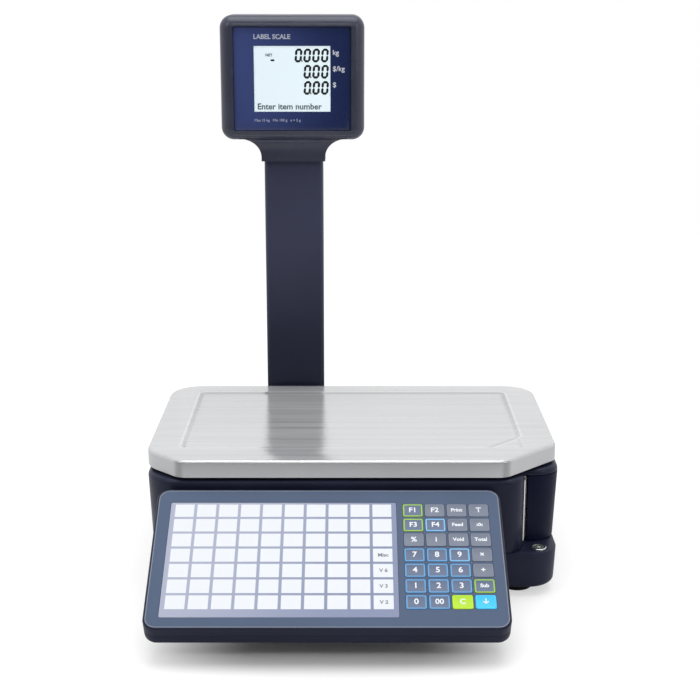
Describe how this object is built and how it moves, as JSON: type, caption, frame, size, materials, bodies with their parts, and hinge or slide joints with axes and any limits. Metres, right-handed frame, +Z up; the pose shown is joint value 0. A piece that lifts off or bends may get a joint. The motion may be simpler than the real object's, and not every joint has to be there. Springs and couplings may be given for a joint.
{
  "type": "label printing scale",
  "caption": "Counter-top retail scale with a brushed platter, tilted keypad with a preset card, display head on a pole, and a label printer drawer in its side.",
  "frame": {"origin": "on the table under the middle of the scale's bounding box, at the bottom of the feet", "axes": "+Z up, -Y towards the operator at the keypad, +X to the operator's right, where the printer drawer opens"},
  "size_m": [0.372, 0.4236, 0.5051],
  "materials": {
    "navy_plastic": "fine moulded texture, semi-matt",
    "navy_paint": "smooth semi-gloss powder coat",
    "black_plastic": "moulded, matt",
    "brushed_stainless": "brushed along the width",
    "aluminium": "machined",
    "zinc_plated_steel": "folded sheet, plated",
    "chrome": "polished ring",
    "rubber": "matt black rubber",
    "board_laminate": "green solder mask",
    "printed_window": "printed polycarbonate",
    "display_panel": "backlit display panel",
    "paper": "uncoated white",
    "keypad_overlay": "slate blue printed film",
    "key_grey": "printed film key",
    "key_blue": "printed film key",
    "key_green": "printed film key",
    "key_cyan": "printed film key"
  },
  "bodies": {
    "body": {"base_pan": "navy_plastic", "upper_housing": "navy_plastic", "load_cell": "aluminium", "main_board": "board_laminate", "power_inlet": "black_plastic", "spirit_level": "chrome", "pole": "navy_paint", "head_front": "navy_plastic", "head_rear": "navy_plastic", "operator_window": "printed_window", "customer_window": "printed_window", "operator_display": "display_panel", "customer_display": "display_panel", "keypad_base": "navy_plastic", "keypad_frame": "keypad_overlay", "preset_sheet": "paper", "tear_bar": "brushed_stainless"},
    "foot_front_left": {"foot_front_left": "rubber"},
    "foot_front_right": {"foot_front_right": "rubber"},
    "foot_rear_left": {"foot_rear_left": "rubber"},
    "foot_rear_right": {"foot_rear_right": "rubber"},
    "load_carrier": {"load_carrier": "aluminium"},
    "platter": {"platter": "brushed_stainless"},
    "printer_drawer": {"printer_drawer": "zinc_plated_steel", "drive_motor": "zinc_plated_steel"},
    "printer_door": {"printer_door": "navy_plastic"},
    "print_head": {"print_head": "aluminium"},
    "platen_roller": {"platen_roller": "rubber"},
    "drive_pinion": {"drive_pinion": "black_plastic"},
    "label_roll": {"label_roll": "paper"},
    "rewind_spool": {"rewind_spool": "black_plastic"},
    "power_switch": {"power_switch": "black_plastic"},
    "key_mode_a": {"key_mode_a": "key_grey"},
    "key_mode_b": {"key_mode_b": "key_grey"},
    "key_print": {"key_print": "key_grey"},
    "key_tare": {"key_tare": "key_grey"},
    "key_mode_c": {"key_mode_c": "key_grey"},
    "key_mode_d": {"key_mode_d": "key_grey"},
    "key_feed": {"key_feed": "key_grey"},
    "key_zero": {"key_zero": "key_grey"},
    "key_discount": {"key_discount": "key_grey"},
    "key_recall": {"key_recall": "key_grey"},
    "key_void": {"key_void": "key_grey"},
    "key_total": {"key_total": "key_grey"},
    "key_7": {"key_7": "key_blue"},
    "key_8": {"key_8": "key_blue"},
    "key_9": {"key_9": "key_blue"},
    "key_times": {"key_times": "key_grey"},
    "key_4": {"key_4": "key_blue"},
    "key_5": {"key_5": "key_blue"},
    "key_6": {"key_6": "key_blue"},
    "key_plus": {"key_plus": "key_grey"},
    "key_1": {"key_1": "key_blue"},
    "key_2": {"key_2": "key_blue"},
    "key_3": {"key_3": "key_blue"},
    "key_subtotal": {"key_subtotal": "key_grey"},
    "key_0": {"key_0": "key_blue"},
    "key_00": {"key_00": "key_blue"},
    "key_clear": {"key_clear": "key_green"},
    "key_enter": {"key_enter": "key_cyan"}
  },
  "joints": [
    {"name": "carrier_travel", "type": "slide", "parent": "body", "child": "load_carrier", "axis": [0, 0, -1], "range_m": [0, 0.0008], "stiffness_N_per_m": 150000},
    {"name": "dish_lift", "type": "slide", "parent": "load_carrier", "child": "platter", "axis": [0, 0, 1], "range_m": [0, 0.06]},
    {"name": "drawer_slide", "type": "slide", "parent": "body", "child": "printer_drawer", "axis": [1, 0, 0], "range_m": [0, 0.125]},
    {"name": "door_hinge", "type": "hinge", "parent": "printer_drawer", "child": "printer_door", "pos_m": [0.1795, 0.1572, 0.0428], "axis": [0, 0, 1], "range_deg": [0, 95]},
    {"name": "head_lever_hinge", "type": "hinge", "parent": "printer_drawer", "child": "print_head", "pos_m": [0.162, 0.008, 0.0505], "axis": [0, 0, 1], "range_deg": [0, 18], "stiffness_Nm_per_rad": 0.6, "springref_deg": -11.46},
    {"name": "feed_platen_spin", "type": "hinge", "parent": "printer_drawer", "child": "platen_roller", "pos_m": [0.146, -0.026, 0.0462], "axis": [0, 0, 1], "continuous": true},
    {"name": "feed_pinion_spin", "type": "hinge", "parent": "printer_drawer", "child": "drive_pinion", "pos_m": [0.12375, -0.01701, 0.0462], "axis": [0, 0, 1], "continuous": true},
    {"name": "feed_roll_spin", "type": "hinge", "parent": "printer_drawer", "child": "label_roll", "pos_m": [0.122, 0.1, 0.048], "axis": [0, 0, 1], "continuous": true},
    {"name": "feed_rewind_spin", "type": "hinge", "parent": "printer_drawer", "child": "rewind_spool", "pos_m": [0.094, 0.022, 0.048], "axis": [0, 0, 1], "continuous": true},
    {"name": "ac_switch_rock", "type": "hinge", "parent": "body", "child": "power_switch", "pos_m": [0.0435, 0.2044, 0.026], "axis": [1, 0, 0], "range_deg": [-10, 0]},
    {"name": "levelling_front_left_screw", "type": "slide", "parent": "body", "child": "foot_front_left", "axis": [0, 0, -1], "range_m": [-0.0008, 0.004]},
    {"name": "levelling_front_right_screw", "type": "slide", "parent": "body", "child": "foot_front_right", "axis": [0, 0, -1], "range_m": [-0.0008, 0.004]},
    {"name": "levelling_rear_left_screw", "type": "slide", "parent": "body", "child": "foot_rear_left", "axis": [0, 0, -1], "range_m": [-0.0008, 0.004]},
    {"name": "levelling_rear_right_screw", "type": "slide", "parent": "body", "child": "foot_rear_right", "axis": [0, 0, -1], "range_m": [-0.0008, 0.004]},
    {"name": "key_mode_a_press", "type": "slide", "parent": "body", "child": "key_mode_a", "axis": [0, 0.4848, -0.8746], "range_m": [0, 0.0006], "stiffness_N_per_m": 2500, "springref_m": -0.0002},
    {"name": "key_mode_b_press", "type": "slide", "parent": "body", "child": "key_mode_b", "axis": [0, 0.4848, -0.8746], "range_m": [0, 0.0006], "stiffness_N_per_m": 2500, "springref_m": -0.0002},
    {"name": "key_print_press", "type": "slide", "parent": "body", "child": "key_print", "axis": [0, 0.4848, -0.8746], "range_m": [0, 0.0006], "stiffness_N_per_m": 2500, "springref_m": -0.0002},
    {"name": "key_tare_press", "type": "slide", "parent": "body", "child": "key_tare", "axis": [0, 0.4848, -0.8746], "range_m": [0, 0.0006], "stiffness_N_per_m": 2500, "springref_m": -0.0002},
    {"name": "key_mode_c_press", "type": "slide", "parent": "body", "child": "key_mode_c", "axis": [0, 0.4848, -0.8746], "range_m": [0, 0.0006], "stiffness_N_per_m": 2500, "springref_m": -0.0002},
    {"name": "key_mode_d_press", "type": "slide", "parent": "body", "child": "key_mode_d", "axis": [0, 0.4848, -0.8746], "range_m": [0, 0.0006], "stiffness_N_per_m": 2500, "springref_m": -0.0002},
    {"name": "key_feed_press", "type": "slide", "parent": "body", "child": "key_feed", "axis": [0, 0.4848, -0.8746], "range_m": [0, 0.0006], "stiffness_N_per_m": 2500, "springref_m": -0.0002},
    {"name": "key_zero_press", "type": "slide", "parent": "body", "child": "key_zero", "axis": [0, 0.4848, -0.8746], "range_m": [0, 0.0006], "stiffness_N_per_m": 2500, "springref_m": -0.0002},
    {"name": "key_discount_press", "type": "slide", "parent": "body", "child": "key_discount", "axis": [0, 0.4848, -0.8746], "range_m": [0, 0.0006], "stiffness_N_per_m": 2500, "springref_m": -0.0002},
    {"name": "key_recall_press", "type": "slide", "parent": "body", "child": "key_recall", "axis": [0, 0.4848, -0.8746], "range_m": [0, 0.0006], "stiffness_N_per_m": 2500, "springref_m": -0.0002},
    {"name": "key_void_press", "type": "slide", "parent": "body", "child": "key_void", "axis": [0, 0.4848, -0.8746], "range_m": [0, 0.0006], "stiffness_N_per_m": 2500, "springref_m": -0.0002},
    {"name": "key_total_press", "type": "slide", "parent": "body", "child": "key_total", "axis": [0, 0.4848, -0.8746], "range_m": [0, 0.0006], "stiffness_N_per_m": 2500, "springref_m": -0.0002},
    {"name": "key_7_press", "type": "slide", "parent": "body", "child": "key_7", "axis": [0, 0.4848, -0.8746], "range_m": [0, 0.0006], "stiffness_N_per_m": 2500, "springref_m": -0.0002},
    {"name": "key_8_press", "type": "slide", "parent": "body", "child": "key_8", "axis": [0, 0.4848, -0.8746], "range_m": [0, 0.0006], "stiffness_N_per_m": 2500, "springref_m": -0.0002},
    {"name": "key_9_press", "type": "slide", "parent": "body", "child": "key_9", "axis": [0, 0.4848, -0.8746], "range_m": [0, 0.0006], "stiffness_N_per_m": 2500, "springref_m": -0.0002},
    {"name": "key_times_press", "type": "slide", "parent": "body", "child": "key_times", "axis": [0, 0.4848, -0.8746], "range_m": [0, 0.0006], "stiffness_N_per_m": 2500, "springref_m": -0.0002},
    {"name": "key_4_press", "type": "slide", "parent": "body", "child": "key_4", "axis": [0, 0.4848, -0.8746], "range_m": [0, 0.0006], "stiffness_N_per_m": 2500, "springref_m": -0.0002},
    {"name": "key_5_press", "type": "slide", "parent": "body", "child": "key_5", "axis": [0, 0.4848, -0.8746], "range_m": [0, 0.0006], "stiffness_N_per_m": 2500, "springref_m": -0.0002},
    {"name": "key_6_press", "type": "slide", "parent": "body", "child": "key_6", "axis": [0, 0.4848, -0.8746], "range_m": [0, 0.0006], "stiffness_N_per_m": 2500, "springref_m": -0.0002},
    {"name": "key_plus_press", "type": "slide", "parent": "body", "child": "key_plus", "axis": [0, 0.4848, -0.8746], "range_m": [0, 0.0006], "stiffness_N_per_m": 2500, "springref_m": -0.0002},
    {"name": "key_1_press", "type": "slide", "parent": "body", "child": "key_1", "axis": [0, 0.4848, -0.8746], "range_m": [0, 0.0006], "stiffness_N_per_m": 2500, "springref_m": -0.0002},
    {"name": "key_2_press", "type": "slide", "parent": "body", "child": "key_2", "axis": [0, 0.4848, -0.8746], "range_m": [0, 0.0006], "stiffness_N_per_m": 2500, "springref_m": -0.0002},
    {"name": "key_3_press", "type": "slide", "parent": "body", "child": "key_3", "axis": [0, 0.4848, -0.8746], "range_m": [0, 0.0006], "stiffness_N_per_m": 2500, "springref_m": -0.0002},
    {"name": "key_subtotal_press", "type": "slide", "parent": "body", "child": "key_subtotal", "axis": [0, 0.4848, -0.8746], "range_m": [0, 0.0006], "stiffness_N_per_m": 2500, "springref_m": -0.0002},
    {"name": "key_0_press", "type": "slide", "parent": "body", "child": "key_0", "axis": [0, 0.4848, -0.8746], "range_m": [0, 0.0006], "stiffness_N_per_m": 2500, "springref_m": -0.0002},
    {"name": "key_00_press", "type": "slide", "parent": "body", "child": "key_00", "axis": [0, 0.4848, -0.8746], "range_m": [0, 0.0006], "stiffness_N_per_m": 2500, "springref_m": -0.0002},
    {"name": "key_clear_press", "type": "slide", "parent": "body", "child": "key_clear", "axis": [0, 0.4848, -0.8746], "range_m": [0, 0.0006], "stiffness_N_per_m": 2500, "springref_m": -0.0002},
    {"name": "key_enter_press", "type": "slide", "parent": "body", "child": "key_enter", "axis": [0, 0.4848, -0.8746], "range_m": [0, 0.0006], "stiffness_N_per_m": 2500, "springref_m": -0.0002}
  ],
  "couplings": [
    {"joint": "feed_platen_spin", "follows": "feed_roll_spin", "ratio": -6.8571},
    {"joint": "feed_pinion_spin", "follows": "feed_roll_spin", "ratio": 11.429},
    {"joint": "feed_rewind_spin", "follows": "feed_roll_spin", "ratio": 4.3636}
  ]
}
